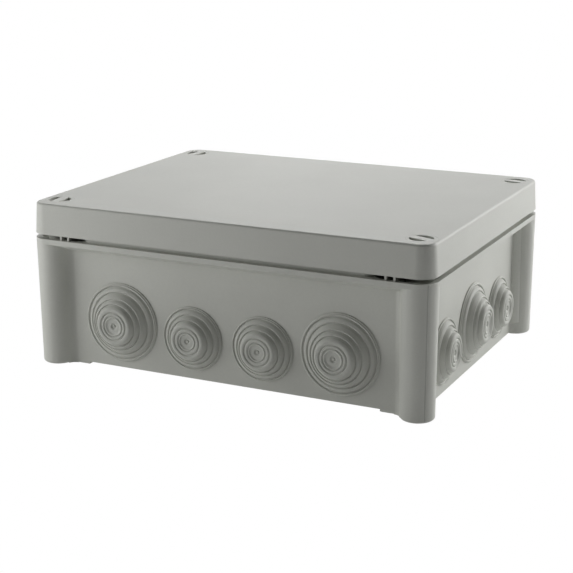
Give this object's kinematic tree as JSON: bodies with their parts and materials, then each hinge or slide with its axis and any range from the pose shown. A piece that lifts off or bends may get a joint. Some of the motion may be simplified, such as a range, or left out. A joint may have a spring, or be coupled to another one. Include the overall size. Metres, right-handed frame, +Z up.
{
  "type": "junction box",
  "caption": "Rectangular surface-mounted weatherproof junction box with a lift-off lid, quarter-turn corner screws, round corner columns and stepped soft cable entries on all walls.",
  "frame": {"origin": "centre of the footprint, on the plane that the four feet stand on", "axes": "+X along the long side, +Y towards the rear wall, +Z up through the lid"},
  "size_m": [0.22, 0.17, 0.086],
  "materials": {
    "shell_plastic": "fine moulded satin",
    "lid_plastic": "fine moulded satin",
    "entry_rubber": "soft matt",
    "seal_rubber": "matt",
    "screw_plastic": "satin"
  },
  "bodies": {
    "base": {"base_shell": "shell_plastic", "entry_front_large_left": "entry_rubber", "entry_front_small_left": "entry_rubber", "entry_front_small_right": "entry_rubber", "entry_front_large_right": "entry_rubber", "entry_rear_large_left": "entry_rubber", "entry_rear_small_left": "entry_rubber", "entry_rear_small_right": "entry_rubber", "entry_rear_large_right": "entry_rubber", "entry_left_small_front": "entry_rubber", "entry_left_large_middle": "entry_rubber", "entry_left_small_rear": "entry_rubber", "entry_right_small_front": "entry_rubber", "entry_right_large_middle": "entry_rubber", "entry_right_small_rear": "entry_rubber"},
    "lid": {"lid": "lid_plastic", "lid_gasket": "seal_rubber"},
    "screw_front_left": {"lid_screw_front_left": "screw_plastic"},
    "screw_front_right": {"lid_screw_front_right": "screw_plastic"},
    "screw_rear_left": {"lid_screw_rear_left": "screw_plastic"},
    "screw_rear_right": {"lid_screw_rear_right": "screw_plastic"}
  },
  "joints": [
    {"name": "lid_lift", "type": "slide", "parent": "base", "child": "lid", "axis": [0, 0, 1], "range_m": [0, 0.08]},
    {"name": "screw_turn_front_left", "type": "hinge", "parent": "lid", "child": "screw_front_left", "pos_m": [-0.0995, -0.0715, 0.08], "axis": [0, 0, -1], "range_deg": [0, 90]},
    {"name": "screw_turn_front_right", "type": "hinge", "parent": "lid", "child": "screw_front_right", "pos_m": [0.0995, -0.0715, 0.08], "axis": [0, 0, -1], "range_deg": [0, 90]},
    {"name": "screw_turn_rear_left", "type": "hinge", "parent": "lid", "child": "screw_rear_left", "pos_m": [-0.0995, 0.0715, 0.08], "axis": [0, 0, -1], "range_deg": [0, 90]},
    {"name": "screw_turn_rear_right", "type": "hinge", "parent": "lid", "child": "screw_rear_right", "pos_m": [0.0995, 0.0715, 0.08], "axis": [0, 0, -1], "range_deg": [0, 90]}
  ]
}
